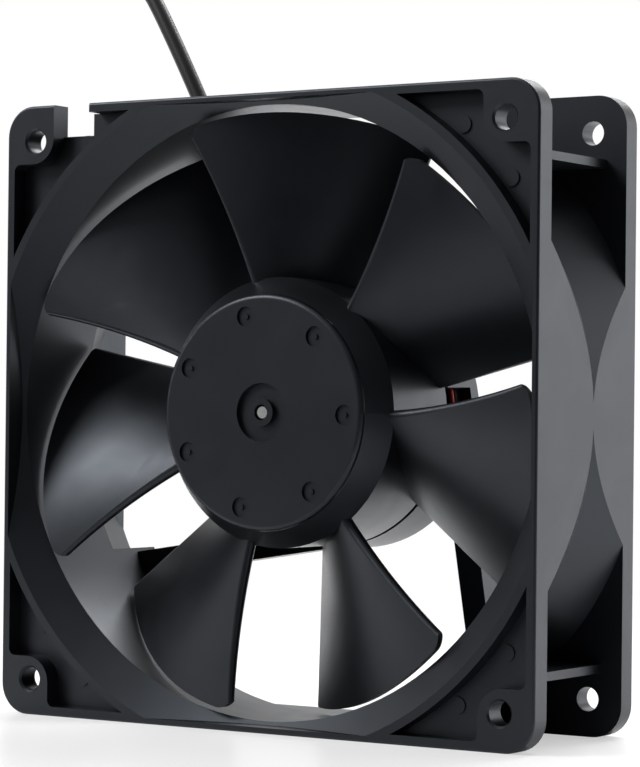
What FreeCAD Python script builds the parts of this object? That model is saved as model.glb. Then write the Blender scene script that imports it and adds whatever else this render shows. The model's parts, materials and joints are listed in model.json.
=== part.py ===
import FreeCAD, Part
import math
import os

# An axial case fan with a moulded frame, seven blades and a two-bearing outer-rotor motor.
# Millimetres. The spin axis is Y, the origin is on it at mid depth, +Z is up.
# Air is drawn in at the -Y face and blown out at the +Y face.

V = FreeCAD.Vector
CENTRE = V(0, 0, 0)
AXIS = V(0, 1, 0)

# Frame: two square flanges with a round duct between them
FRAME_SIDE = 119.0
FRAME_DEPTH = 38.0
FRAME_CORNER = 6.0
FLANGE = 4.5  # thickness of each flange
HOLE_INSET = 7.0  # screw hole centre, in from the frame's edges
HOLE_RADIUS = 2.25
HOLE_CHAMFER = 0.4
SIDE_WALL = 1.8  # duct wall where it is flush with the frame's sides
THIN_WALL = 1.15  # what is left of it where the bell and the flare run out there
BELL_RISE = 5.7  # the intake bell, beyond the throat's radius
BELL_DEPTH = 4.7
FLARE_RISE = 5.6  # the outlet flare, beyond the throat's radius
FLARE_DEPTH = 14.0
WAIST_PROUD = 0.05  # the duct's narrowest outside, beyond the flat sides
WAIST_SHIFT = 2.3  # that narrowest place, behind mid depth
OUTER_RISE_FRONT = 7.5  # the duct's outside at the intake flange, beyond its waist
OUTER_RISE_REAR = 4.5  # and at the outlet flange
EDGE_ROUND = 0.5
LIP = 1.6  # raised ring round the bell
POCKET_DEPTH = 3.5
POCKET_RIM = 1.8
POCKET_CORNER = 1.4
PAD = 11.4  # square pad round each screw hole
PAD_CORNER = 5.0
RIB_INSET = 12.8  # stiffening ribs between the flanges, in from the top and bottom
RIB_SETBACK = 4.2
RIB_THICKNESS = 1.6
MARK_RADIUS = 1.6  # ejector pin marks on the pocket floors
MARK_HEIGHT = 0.3
MARK_CIRCLE = 7.4  # beyond half the frame's side
MARK_SPREAD = 6.0  # degrees to each side of the diagonal
NOTCH_RIM = 8.6  # lead notch in the intake flange: its width through the rim
NOTCH_FLOOR = 7.2  # and through the pocket floor
NOTCH_DEPTH = 6.0

# Motor base: a cup held by four slanted struts
BASE_LENGTH = 10.0
BASE_RADIUS = 25.6
BASE_DRAFT = 0.7
BASE_WALL = 1.3
BASE_FLOOR = 2.0
BOSS_DROP = 0.8  # the boss round the bearing tube, behind the circuit board
STRUT_WIDTH = 5.1
STRUT_DEPTH = 6.2
STRUT_LEAN = 9.0  # degrees that the struts lean from the frame's sides
STRUT_COUNT = 4
ROOT_ABOVE = 0.8  # where a strut meets the duct, it stands on a block wider than itself
ROOT_BELOW = 4.9
CHANNEL_SKIN = 0.8
CHANNEL_START = 0.6  # share of the way to the cup's wall where the channel starts
CHANNEL_CLEARANCE = 0.9  # beside the leads in the channelled strut
WINDOW_FROM = 2.0  # degrees, open slot in the cup's wall
WINDOW_TO = 11.5
WINDOW_SILL = 2.5
WINDOW_OUT = 3.0  # the slot's cut, beyond the cup's radius
LABEL_RADIUS = 20.0
LABEL_THICKNESS = 0.25
LABEL_RECESS = 0.4
LABEL_CLEARANCE = 0.2

# Impeller
TIP_CLEARANCE = 1.2
HUB_RADIUS = 25.5
HUB_FACE_DROP = 3.3  # the hub's face is this much smaller in radius
HUB_SETBACK = 2.0  # hub face behind the intake face
HUB_SHOULDER = 5.8
HUB_EDGE = 1.0
HUB_WALL = 1.6
ROTOR_GAP = 1.0  # between the hub's rim and the motor base
BLADE_COUNT = 7
BLADE_PHASE = 5.5  # degrees, leading corner of the first blade
ROOT_PHASE = -1.0
BLADE_TRAIL = -38.0
ROOT_FRONT = 8.0  # leading edge behind the intake face, at the root
TIP_FRONT = 3.5
ROOT_RISE = 7.5  # camber line: rise * share + curl * share squared
ROOT_CURL = 10.0
TIP_RISE = 3.7
TIP_CURL = 16.0
ROOT_THICKNESS = 2.3
TIP_THICKNESS = 1.5
LEAD_CORNER = 3.5
TRAIL_CORNER = 1.2
ROOT_BITE = 1.2  # how far a blade runs into the hub's wall
SECTION_COUNT = 5  # along a blade, from inside the yoke's radius to beyond the tip
SECTION_INSIDE = 2.4
SECTION_BEYOND = 0.6
SECTION_POINTS = 7
CAMBER_ROUNDS = 12  # rounds that settle a camber point's angle
SPOT_CIRCLE = 18.3  # seven round pockets in the hub's face
SPOT_RADIUS = 1.9
SPOT_DEPTH = 0.5
SPOT_PIN = 0.5
SPOT_PHASE = -1.0
WELL_RADIUS = 5.5  # sunk ring round the shaft end
WELL_DEPTH = 1.0
BOSS_RADIUS = 2.6

# Rotor inside the hub
YOKE_WALL = 1.2
YOKE_INSET = 0.6
YOKE_BEND = 0.2  # outer bend behind the hub's shoulder
YOKE_INNER_BEND = 0.8
MAGNET_THICKNESS = 3.0
MAGNET_FRONT_GAP = 4.0
MAGNET_INSET = 2.0
BUSH_RADIUS = 4.2
BUSH_NOSE = 1.7
BUSH_RELIEF = 0.1

# Shaft and ball bearings
SHAFT_RADIUS = 1.5
RING_WALL = 0.65
BALL_RADIUS = 0.794
BALL_COUNT = 7
TRACK_CLEARANCE = 0.016
RING_GAP = 1.2  # between the inner ring's land and the outer ring's
BEARING_WIDTH = 4.0
SHIELD_THICKNESS = 0.2
SHIELD_STEP = 0.25
SHIELD_INSET = 0.15
SHIELD_CLEARANCE = 0.15
CAGE_HALF_WALL = 0.3
CAGE_LENGTH = 2.3
CAGE_CLEARANCE = 0.06
TUBE_WALL = 1.2
TUBE_SETBACK = 7.4  # tube's front end behind the hub's face
BEARING_SETBACK = 0.4
SHOULDER = 0.8
SPRING_WIRE = 0.25
SPRING_TURNS = 5
SPRING_CLEARANCE = 0.3
WASHER = 0.3
CLIP_THICKNESS = 0.5
CLIP_GROOVE = 0.35
CLIP_REACH = 1.4
CLIP_MOUTH = 0.8  # the opening, as a share of the groove's width
SHAFT_TAIL = 1.3
SHAFT_CHAMFER = 0.4

# Stator
AIR_GAP = 0.5
POLE_COUNT = 4
CORE_SHORTER = 6.2  # the laminations are this much shorter than the magnet
CORE_HUB_WALL = 3.2
TOOTH_WIDTH = 5.0
SHOE_THICKNESS = 2.5
SLOT_WIDTH = 3.0
INSULATOR = 0.8
INSULATOR_WALL = 2.6
INSULATOR_SPAN = 1.8  # a wall's width, in tooth widths
WINDING_DEPTH = 2.6
WINDING_GAP = 0.15
WINDING_EDGE = 20.0  # degrees from a tooth's middle to its winding's outer corner
PIN_SIDE = 0.5
PIN_ANGLES = (45.0, 135.0, 225.0)
PIN_OUT = 0.7

# Circuit board and its parts
BOARD_GAP = 2.4  # board behind the cup's open end
BOARD_THICKNESS = 1.2
BOARD_CLEARANCE = 1.9
BOSS_CLEARANCE = 0.6
POST_RADIUS = 1.2
POST_CIRCLE = 17.0
POST_ANGLES = (60.0, 150.0, 300.0)
HALL_WIDTH = 4.0
HALL_THICKNESS = 1.5
HALL_LENGTH = 1.8
HALL_GAP = 0.5
LEG_PITCH = 1.27
LEG_WIDTH = 0.4
LEG_THICKNESS = 0.35
HALL_ANGLE = 45.0
CHIP_SIZE = (5.0, 1.6, 4.0)
CHIP_LIFT = 0.1
CHIP_LEGS = 4  # on each side
CHIP_PLACE = (14.0, 240.0)  # radius and degrees
CAP_RADIUS = 2.0
CAP_HEIGHT = 3.9
CAP_BASE = 0.6
CAP_PLACE = (13.0, 100.0)
RESISTOR_SIZE = (2.0, 0.5, 1.25)
RESISTOR_CIRCLE = 15.0
RESISTOR_ANGLES = (190.0, 205.0, 275.0, 330.0)
SOLDER_HEIGHT = 0.4
PIN_SOLDER = 0.75  # radius of the solder round a pin
LEAD_SOLDER = 1.0

# Leads inside, then the sleeved cable with its coil and connector
WIRE_RADIUS = 0.55
WIRE_PITCH = 1.12
WIRE_COLOURS = ("red", "black", "brown")
WIRE_ANGLES = (34.0, 28.0, 22.0)
PAD_CIRCLE = 20.5
GROMMET_RADIUS = 2.3
GROMMET_TIP_RADIUS = 1.95
GROMMET_ROOT = 0.6  # behind the sleeve's end
GROMMET_LENGTH = 6.0
GROMMET_PLUG = 4.0
PLUG_CLEARANCE = 0.2
CHANNEL_STOP = 3.2  # the channel ends this far short of the throat's radius
CABLE_RADIUS = 1.6
CABLE_ROUTE = (
    (-30.5, 12.6, 53.0),
    (-39.6, 12.6, 71.0),
    (-53.3, 12.8, 93.9),
    (-87.5, 13.2, 101.2),
    (-116.0, 14.0, 80.9),
    (-122.1, 16.0, 31.3),
    (-117.0, 20.0, -16.0),
    (-119.0, 19.5, -46.5),
    (-119.0, 8.2, -57.9),
    (-119.0, -7.8, -57.9),
)
COIL_RADIUS = 17.6  # at the middle of the turns
COIL_LAYERS = 2
COIL_END = 165.0  # degrees round the coil where the cable ends, on top of the layers
COIL_RISE = 20.0
COIL_ROUND = 0.6  # edge of the stacked turns, in cable radii
ARC_SHARE = 0.45  # share of the shorter run that a cable's bend takes
TIE_WIDTH = 3.0
TIE_THICKNESS = 0.8
TIE_ANGLE = 20.0
CONNECTOR_SIZE = (13.5, 10.2, 6.0)
CONNECTOR_EDGE = 0.4
CONNECTOR_PITCH = 2.54
CONNECTOR_ANGLE = 242.0  # degrees round the coil, at the connector's middle
CONNECTOR_RADIUS = 16.5  # and its distance from the coil's centre
RAIL_SIDE = 0.8
RAIL_START = 0.35  # shares of the housing's length and width
RAIL_LENGTH = 0.6
RAIL_OFFSET = 0.27
SOCKET_SIDE = 1.7
LATCH_SIZE = (2.2, 1.2)
LATCH_START = 0.3  # share of the housing's length
CONTACT_SIDE = 1.5
CONTACT_BORE = 1.0
CONTACT_CRIMP = 2.5
TAIL_BUNDLE = 0.76  # each tail's distance from the middle of the three
TAIL_INSIDE = 4.0
TAIL_STRAIGHT = 1.5
TAIL_TURNS = (150.0, 270.0, 30.0)  # degrees round the bundle
SHRINK_LENGTH = 6.0
SHRINK_WALL = 0.35
SHRINK_START = 0.5  # over the end of the coil
SHRINK_GRIP = 0.1
SHRINK_SOLID = 0.3  # share of its length before its mouth

# Places that follow from the sizes above
HALF = FRAME_SIDE / 2
BEYOND = 1.5 * HALF  # farther from the axis than the frame's corners
FRONT = -FRAME_DEPTH / 2
REAR = FRAME_DEPTH / 2
THROAT_RADIUS = HALF - SIDE_WALL
TIP_RADIUS = THROAT_RADIUS - TIP_CLEARANCE
BELL_RADIUS = THROAT_RADIUS + BELL_RISE
BASE_FRONT = REAR - BASE_LENGTH
BASE_INNER = BASE_RADIUS - BASE_WALL
FLOOR_FRONT = REAR - BASE_FLOOR
STRUT_FRONT = REAR - STRUT_DEPTH
LEAD_RADIUS = BASE_RADIUS - STRUT_WIDTH / 2
HUB_FRONT = FRONT + HUB_SETBACK
HUB_REAR = BASE_FRONT - ROTOR_GAP
YOKE_RADIUS = HUB_RADIUS - HUB_WALL
YOKE_FRONT = HUB_FRONT + HUB_WALL
YOKE_INNER = YOKE_RADIUS - YOKE_WALL
MAGNET_INNER = YOKE_INNER - MAGNET_THICKNESS
MAGNET_FRONT = YOKE_FRONT + YOKE_WALL + MAGNET_FRONT_GAP
MAGNET_REAR = HUB_REAR - MAGNET_INSET
RING_OUTER = SHAFT_RADIUS + RING_WALL
RACE_INNER = RING_OUTER + RING_GAP
BEARING_RADIUS = RACE_INNER + RING_WALL
PITCH_RADIUS = (RING_OUTER + RACE_INNER) / 2
TUBE_RADIUS = BEARING_RADIUS + TUBE_WALL
TUBE_FRONT = HUB_FRONT + TUBE_SETBACK
TUBE_REAR = FLOOR_FRONT + 0.2
FRONT_BEARING = TUBE_FRONT + BEARING_SETBACK
REAR_BEARING = BASE_FRONT
CLIP_FRONT = REAR_BEARING + BEARING_WIDTH + WASHER
SHAFT_FRONT = HUB_FRONT + BEARING_SETBACK
SHAFT_REAR = CLIP_FRONT + CLIP_THICKNESS + SHAFT_TAIL
CORE_RADIUS = MAGNET_INNER - AIR_GAP
CORE_FRONT = MAGNET_FRONT + CORE_SHORTER / 2
CORE_REAR = MAGNET_REAR - CORE_SHORTER / 2
CORE_HUB = TUBE_RADIUS + CORE_HUB_WALL
SHOE_INNER = CORE_RADIUS - SHOE_THICKNESS
BOARD_FRONT = BASE_FRONT + BOARD_GAP
BOARD_REAR = BOARD_FRONT + BOARD_THICKNESS
BOARD_RADIUS = BASE_INNER - BOARD_CLEARANCE
CHANNEL_FRONT = STRUT_FRONT + CHANNEL_SKIN
WIRE_FIRST = CHANNEL_FRONT + WIRE_RADIUS + 0.05
CHANNEL_HALF = WIRE_RADIUS + CHANNEL_CLEARANCE
FLOOR_LEVEL = -HALF
CABLE_END = V(*CABLE_ROUTE[-1])
COIL_CENTRE = V(CABLE_END.x + COIL_RADIUS, CABLE_END.y, FLOOR_LEVEL)
COIL_TOP = FLOOR_LEVEL + 2 * CABLE_RADIUS * COIL_LAYERS
SHRINK_RADIUS = CABLE_RADIUS + SHRINK_WALL
END_LEVEL = COIL_TOP + SHRINK_RADIUS
CHANNEL_END = THROAT_RADIUS - CHANNEL_STOP


def outline(path):
    """Closed wire of (radius, y) points; a pair of points is an arc through the first to the second."""
    edges = []
    here = path[0]
    for step in list(path[1:]) + [path[0]]:
        if isinstance(step[0], tuple):
            middle, there = step
            edges.append(Part.Arc(V(*here, 0), V(*middle, 0), V(*there, 0)).toShape())
        else:
            there = step
            edges.append(Part.LineSegment(V(*here, 0), V(*there, 0)).toShape())
        here = there
    return Part.Wire(edges)


def turned(path):
    """Solid of revolution about the spin axis."""
    return Part.Face(outline(path)).revolve(CENTRE, AXIS, 360)


def rod(radius, front, back, x=0.0, z=0.0):
    return Part.makeCylinder(radius, back - front, V(x, front, z), AXIS)


def ring(outer, inner, front, back):
    return rod(outer, front, back).cut(rod(inner, front - 1, back + 1))


def box(x, y, z):
    """Box from three (low, high) pairs."""
    return Part.makeBox(x[1] - x[0], y[1] - y[0], z[1] - z[0], V(x[0], y[0], z[0]))


def spun(shape, degrees):
    """Copy turned about the spin axis, counter-clockwise as seen from the intake."""
    copy = shape.copy()
    copy.rotate(CENTRE, AXIS, -degrees)
    return copy


def polar(radius, degrees, y=0.0):
    angle = math.radians(degrees)
    return V(radius * math.cos(angle), y, radius * math.sin(angle))


def square_block(half, front, back, corner=0.0):
    block = box((-half, half), (front, back), (-half, half))
    if corner > 0:
        block = block.makeFillet(corner, [e for e in block.Edges if along_axis(e)])
    return block


def along_axis(edge):
    ends = [v.Point for v in edge.Vertexes]
    return len(ends) == 2 and abs(ends[0].x - ends[1].x) < 1e-6 and abs(ends[0].z - ends[1].z) < 1e-6


def joined(shapes):
    """One solid from many that meet."""
    whole = shapes[0].fuse(list(shapes[1:]))
    return whole.removeSplitter()


def bar(start, end, radius):
    run = end - start
    return Part.makeCylinder(radius, run.Length, start, run)


def save(name, shape):
    os.makedirs("parts", exist_ok=True)
    solids = shape.Solids
    if not solids or not shape.isValid():
        raise RuntimeError(name + " isn't a valid solid")
    out = solids[0] if len(solids) == 1 else Part.makeCompound(solids)
    out.exportStep("parts/" + name + ".step")
    print(name, len(solids), "solid(s)", round(out.Volume, 2), "mm3")


# ---------------------------------------------------------------- frame


def air_path():
    """The passage through the frame: bell, throat and outlet flare, cut flat near the sides."""
    passage = turned(
        [
            (0, FRONT - 1),
            (BELL_RADIUS, FRONT - 1),
            (BELL_RADIUS, FRONT),
            (THROAT_RADIUS, FRONT + BELL_DEPTH),
            (THROAT_RADIUS, REAR - FLARE_DEPTH),
            (THROAT_RADIUS + FLARE_RISE, REAR),
            (THROAT_RADIUS + FLARE_RISE, REAR + 1),
            (0, REAR + 1),
        ]
    )
    return passage.common(square_block(HALF - THIN_WALL, FRONT - 2, REAR + 2))


def duct_outside():
    """Outer form of the duct, waisted near mid depth and trimmed by the frame's flat sides."""
    waist = HALF + WAIST_PROUD
    form = turned(
        [
            (0, FRONT),
            (waist + OUTER_RISE_FRONT, FRONT),
            (waist + OUTER_RISE_FRONT, FRONT + FLANGE),
            (waist, WAIST_SHIFT),
            (waist + OUTER_RISE_REAR, REAR - FLANGE),
            (waist + OUTER_RISE_REAR, REAR),
            (0, REAR),
        ]
    )
    return form.common(square_block(HALF, FRONT, REAR, FRAME_CORNER))


def soft_envelope():
    """The frame's overall block with its outer edges slightly rounded."""
    block = square_block(HALF, FRONT, REAR, FRAME_CORNER)
    return block.makeFillet(EDGE_ROUND, [e for e in block.Edges if not along_axis(e)])


def corner_pads(front, back):
    """The pads round the screw holes, with their inner corner rounded."""
    pads = []
    for side_x in (-1, 1):
        for side_z in (-1, 1):
            x = sorted((side_x * (HALF - PAD), side_x * (HALF + 1)))
            z = sorted((side_z * (HALF - PAD), side_z * (HALF + 1)))
            pad = box(x, (front, back), z)
            inner = [e for e in pad.Edges if along_axis(e) and abs(e.Vertexes[0].X) < HALF - PAD + 0.01]
            inner = [e for e in inner if abs(e.Vertexes[0].Z) < HALF - PAD + 0.01]
            pads.append(pad.makeFillet(PAD_CORNER, inner))
    return pads


def flange_pockets(front, back):
    """Sunk corners of a flange, between the bell's lip, the rim and the pads."""
    sunk = square_block(HALF - POCKET_RIM, front, back, FRAME_CORNER - POCKET_RIM)
    sunk = sunk.cut(rod(BELL_RADIUS + LIP, front - 1, back + 1))
    for pad in corner_pads(front - 1, back + 1):
        sunk = sunk.cut(pad)
    corners = [e for e in sunk.Edges if along_axis(e) and meets_rim(e.Vertexes[0].X, e.Vertexes[0].Z)]
    return sunk.makeFillet(POCKET_CORNER, corners)


def meets_rim(x, z):
    """True at the corners where a pad's side runs into the rim."""
    near = sorted((abs(x), abs(z)))
    return abs(near[0] - (HALF - PAD)) < 0.01 and abs(near[1] - (HALF - POCKET_RIM)) < 0.01


def corner_ribs():
    """Level ribs that tie the flanges together beside each corner."""
    ribs = []
    middle = HALF - RIB_INSET
    for side_x in (-1, 1):
        x = sorted((side_x * THROAT_RADIUS / 2, side_x * (HALF - RIB_SETBACK)))
        for side_z in (-1, 1):
            low = side_z * middle - RIB_THICKNESS / 2
            ribs.append(box(x, (FRONT + FLANGE - 1, REAR - FLANGE + 1), (low, low + RIB_THICKNESS)))
    return ribs


def screw_holes():
    """Holes right through both flanges, with a small chamfer on the outer faces."""
    cuts = []
    reach = HALF - HOLE_INSET
    wide = HOLE_RADIUS + HOLE_CHAMFER
    for x in (-reach, reach):
        for z in (-reach, reach):
            cuts.append(rod(HOLE_RADIUS, FRONT - 1, REAR + 1, x, z))
            cuts.append(Part.makeCone(wide, HOLE_RADIUS, HOLE_CHAMFER, V(x, FRONT, z), AXIS))
            cuts.append(Part.makeCone(HOLE_RADIUS, wide, HOLE_CHAMFER, V(x, REAR - HOLE_CHAMFER, z), AXIS))
    return cuts


def ejector_marks():
    """Low round marks on the pocket floors of the intake flange."""
    marks = []
    floor = FRONT + POCKET_DEPTH
    for corner in range(4):
        for side in (-1, 1):
            place = polar(HALF + MARK_CIRCLE, 45 + 90 * corner + side * MARK_SPREAD)
            marks.append(rod(MARK_RADIUS, floor - MARK_HEIGHT, floor + 0.1, place.x, place.z))
    return marks


def lead_notch():
    """Notch beside one pad of the intake flange, for a lead that leaves on that side."""
    left = -(HALF - PAD)
    deep = (FRONT - 1, FRONT + FLANGE)
    rim = box((left, left + NOTCH_RIM), deep, (HALF - POCKET_RIM, HALF + 1))
    floor = box((left, left + NOTCH_FLOOR), deep, (HALF - NOTCH_DEPTH, HALF - POCKET_RIM + 0.5))
    return rim.fuse(floor)


def strut(index):
    """One strut, tangent to the motor base and out past the duct."""
    beam = box((0, BEYOND), (STRUT_FRONT, REAR), (BASE_RADIUS - STRUT_WIDTH, BASE_RADIUS))
    return spun(beam, 180 + STRUT_LEAN + index * 360 / STRUT_COUNT)


def strut_root(index):
    """Block in the outlet flare that a strut runs into, flush with the throat."""
    high = BASE_RADIUS - STRUT_WIDTH - ROOT_ABOVE
    low = BASE_RADIUS + ROOT_BELOW
    block = box((THROAT_RADIUS / 2, BEYOND), (REAR - FLARE_DEPTH, REAR), (high, low))
    block = spun(block, 180 + STRUT_LEAN + index * 360 / STRUT_COUNT)
    return block.common(duct_outside()).cut(rod(THROAT_RADIUS, FRONT, REAR + 1))


def base_cup():
    """Closed motor base before its inside is cut out."""
    return turned([(0, BASE_FRONT), (BASE_RADIUS, BASE_FRONT), (BASE_RADIUS + BASE_DRAFT, REAR), (0, REAR)])


def base_inside():
    """Room inside the base, less the tube's boss and the board's posts."""
    room = rod(BASE_INNER, BASE_FRONT - 1, FLOOR_FRONT)
    room = room.cut(rod(TUBE_RADIUS + TUBE_WALL, BOARD_REAR + BOSS_DROP, REAR))
    for angle in POST_ANGLES:
        place = polar(POST_CIRCLE, angle)
        room = room.cut(rod(POST_RADIUS, BOARD_REAR, REAR, place.x, place.z))
    return room


def base_window():
    """Slot in the cup's wall, open at its front."""
    cheek = rod(BASE_RADIUS + WINDOW_OUT, BASE_FRONT - 1, REAR - WINDOW_SILL)
    cheek = cheek.cut(rod(BASE_INNER - 1, BASE_FRONT - 2, REAR))
    span = box((0, 2 * BASE_RADIUS), (BASE_FRONT - 2, REAR), (0, BASE_RADIUS))
    return cheek.common(spun(span, WINDOW_FROM)).cut(spun(span, WINDOW_TO))


def channel_turn():
    """Degrees of the strut that carries the leads."""
    return 180 + STRUT_LEAN - 360 / STRUT_COUNT


def lead_channel():
    """Groove along the back of that strut, from the cup to the duct."""
    start = math.sqrt(BASE_INNER**2 - LEAD_RADIUS**2) * CHANNEL_START
    groove = box(
        (start, CHANNEL_END),
        (CHANNEL_FRONT, REAR + 1),
        (LEAD_RADIUS - CHANNEL_HALF, LEAD_RADIUS + CHANNEL_HALF),
    )
    return spun(groove, channel_turn())


def lead_grommet():
    """Strain relief: a plug in the end of the channel, then a tapered spout along the cable."""
    start = V(*CABLE_ROUTE[0])
    way = (V(*CABLE_ROUTE[1]) - start).normalize()
    foot = start - way * GROMMET_ROOT
    spout = Part.makeCone(GROMMET_RADIUS, GROMMET_TIP_RADIUS, GROMMET_LENGTH, foot, way)
    root = Part.makeSphere(GROMMET_RADIUS, foot)
    plug = box(
        (CHANNEL_END - GROMMET_PLUG, CHANNEL_END),
        (CHANNEL_FRONT, CHANNEL_FRONT + WIRE_PITCH * len(WIRE_COLOURS) + PLUG_CLEARANCE),
        (LEAD_RADIUS - CHANNEL_HALF, LEAD_RADIUS + CHANNEL_HALF),
    )
    relief = joined([spout, root, spun(plug, channel_turn())])
    return relief.cut(bar(start, start + way * GROMMET_LENGTH * 2, CABLE_RADIUS))


def fan_housing():
    sides = square_block(HALF, FRONT, FRONT + FLANGE, FRAME_CORNER)
    rear = square_block(HALF, REAR - FLANGE, REAR, FRAME_CORNER)
    frame = joined([sides, rear, duct_outside()] + corner_ribs())
    frame = frame.cut(flange_pockets(FRONT, FRONT + POCKET_DEPTH))
    frame = frame.cut(flange_pockets(REAR - POCKET_DEPTH, REAR))
    frame = frame.cut(air_path())
    struts = [strut(i).common(duct_outside()) for i in range(STRUT_COUNT)]
    roots = [strut_root(i) for i in range(STRUT_COUNT)]
    frame = joined([frame, base_cup()] + struts + roots + ejector_marks())
    frame = frame.common(soft_envelope())
    frame = frame.cut([base_inside(), base_window(), lead_notch(), lead_channel()] + screw_holes())
    frame = frame.cut(rod(TUBE_RADIUS, BASE_FRONT, TUBE_REAR))
    frame = frame.cut(rod(BEARING_RADIUS, BASE_FRONT, REAR + 1))
    frame = frame.cut(rod(LABEL_RADIUS, REAR - LABEL_RECESS, REAR + 1))
    way = (V(*CABLE_ROUTE[1]) - V(*CABLE_ROUTE[0])).normalize() * GROMMET_LENGTH * 2
    frame = frame.cut(bar(V(*CABLE_ROUTE[0]), V(*CABLE_ROUTE[0]) + way, CABLE_RADIUS))
    return frame.cut(lead_grommet())


def rear_label():
    """Blank disc that closes the rear of the bearing tube."""
    back = REAR - LABEL_RECESS
    return rod(LABEL_RADIUS - LABEL_CLEARANCE, back, back + LABEL_THICKNESS)


# ---------------------------------------------------------------- impeller


def mix(low, high, share):
    return low + (high - low) * share


def camber_point(share, plane, middle):
    """Point of a blade's camber line in the plane at that distance from the axis."""
    radius = plane
    for _ in range(CAMBER_ROUNDS):
        out = (radius - HUB_RADIUS) / (TIP_RADIUS - HUB_RADIUS)
        lead = mix(ROOT_PHASE, BLADE_PHASE, out)
        angle = math.radians(mix(lead, BLADE_TRAIL, share) - middle)
        radius = plane / math.cos(angle)
    rise = mix(ROOT_RISE, TIP_RISE, out) * share + mix(ROOT_CURL, TIP_CURL, out) * share * share
    return V(plane, FRONT + mix(ROOT_FRONT, TIP_FRONT, out) + rise, radius * math.sin(angle))


def camber_run(share, plane, middle):
    """Direction of the camber line at a point."""
    step = 1 / 100
    run = camber_point(share + step, plane, middle) - camber_point(share - step, plane, middle)
    return run.normalize()


def blade_section(plane, middle):
    """Closed wire of a blade section: two long curves and two round noses."""
    out = (plane - HUB_RADIUS) / (TIP_RADIUS - HUB_RADIUS)
    half = mix(ROOT_THICKNESS, TIP_THICKNESS, out) / 2
    front_side = []
    back_side = []
    for i in range(SECTION_POINTS):
        share = i / (SECTION_POINTS - 1)
        here = camber_point(share, plane, middle)
        across = camber_run(share, plane, middle).cross(V(1, 0, 0)).normalize() * half
        front_side.append(here + across)
        back_side.append(here - across)
    noses = []
    for share, way in ((0.0, -1), (1.0, 1)):
        here = camber_point(share, plane, middle)
        noses.append(here + camber_run(share, plane, middle) * half * way)
    curves = [Part.BSplineCurve(), Part.BSplineCurve()]
    curves[0].interpolate(front_side)
    curves[1].interpolate(back_side[::-1])
    trailing = Part.Arc(front_side[-1], noses[1], back_side[-1])
    leading = Part.Arc(back_side[0], noses[0], front_side[0])
    return Part.Wire([curves[0].toShape(), trailing.toShape(), curves[1].toShape(), leading.toShape()])


def tip_trim(middle):
    """Round tip outline of a blade, with its leading corner rounded more than its trailing one."""
    sector = ring(TIP_RADIUS, HUB_RADIUS - ROOT_BITE, FRONT, REAR)
    span = (FRONT - 1, REAR + 1)
    tip_height = TIP_RADIUS * math.sin(math.radians(BLADE_PHASE))
    root_height = HUB_RADIUS * math.sin(math.radians(ROOT_PHASE))
    lead_lean = math.degrees(math.atan2(tip_height - root_height, TIP_RADIUS - HUB_RADIUS))
    keep = spun(box((0, 2 * TIP_RADIUS), span, (-TIP_RADIUS, 1.0)), lead_lean)
    keep.translate(polar(HUB_RADIUS, ROOT_PHASE) - polar(HUB_RADIUS, lead_lean))
    other = spun(box((0, 2 * TIP_RADIUS), span, (-1.0, TIP_RADIUS)), BLADE_TRAIL)
    sector = sector.common(keep).common(other)
    corners = [e for e in sector.Edges if along_axis(e) and e.Vertexes[0].Point.Length > TIP_RADIUS - 1]
    lead = [e for e in corners if e.Vertexes[0].Z > 0]
    sector = sector.makeFillet(LEAD_CORNER, lead)
    trail = [e for e in sector.Edges if along_axis(e) and polar_angle(e) < BLADE_TRAIL + 4]
    trail = [e for e in trail if math.hypot(e.Vertexes[0].X, e.Vertexes[0].Z) > TIP_RADIUS - 0.5]
    sector = sector.makeFillet(TRAIL_CORNER, trail)
    return spun(sector, -middle)


def polar_angle(edge):
    return math.degrees(math.atan2(edge.Vertexes[0].Z, edge.Vertexes[0].X))


def blade():
    middle = (ROOT_PHASE + BLADE_TRAIL) / 2
    first = YOKE_RADIUS - SECTION_INSIDE
    apart = (TIP_RADIUS + SECTION_BEYOND - first) / (SECTION_COUNT - 1)
    planes = [first + i * apart for i in range(SECTION_COUNT)]
    body = Part.makeLoft([blade_section(p, middle) for p in planes], True)
    return spun(body.common(tip_trim(middle)), middle)


def hub():
    """Hub cap over the yoke, with the pockets in its face."""
    face = HUB_RADIUS - HUB_FACE_DROP
    edge = HUB_EDGE * (1 - math.sqrt(0.5))
    form = turned(
        [
            (0, HUB_FRONT),
            (face - HUB_EDGE, HUB_FRONT),
            ((face - edge, HUB_FRONT + edge), (face, HUB_FRONT + HUB_EDGE)),
            (HUB_RADIUS, HUB_FRONT + HUB_SHOULDER),
            (HUB_RADIUS, HUB_REAR),
            (0, HUB_REAR),
        ]
    )
    form = form.cut(yoke_form(HUB_REAR + 1))
    form = form.cut(ring(WELL_RADIUS, BOSS_RADIUS, HUB_FRONT - 1, HUB_FRONT + WELL_DEPTH))
    form = form.cut(rod(SHAFT_RADIUS, HUB_FRONT - 1, YOKE_FRONT + 1))
    for i in range(BLADE_COUNT):
        place = polar(SPOT_CIRCLE, SPOT_PHASE + i * 360 / BLADE_COUNT)
        spot = rod(SPOT_RADIUS, HUB_FRONT - 1, HUB_FRONT + SPOT_DEPTH, place.x, place.z)
        spot = spot.cut(rod(SPOT_PIN, HUB_FRONT + SPOT_DEPTH / 3, HUB_FRONT + 1, place.x, place.z))
        form = form.cut(spot)
    return form


def impeller():
    one = blade()
    blades = [spun(one, i * 360 / BLADE_COUNT) for i in range(BLADE_COUNT)]
    return hub().fuse(blades)


# ---------------------------------------------------------------- rotor


def yoke_form(back):
    """Outer form of the pressed steel yoke."""
    face = YOKE_RADIUS - HUB_FACE_DROP
    return turned(
        [
            (0, YOKE_FRONT),
            (face, YOKE_FRONT),
            (YOKE_RADIUS, HUB_FRONT + HUB_SHOULDER + YOKE_BEND),
            (YOKE_RADIUS, back),
            (0, back),
        ]
    )


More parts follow.
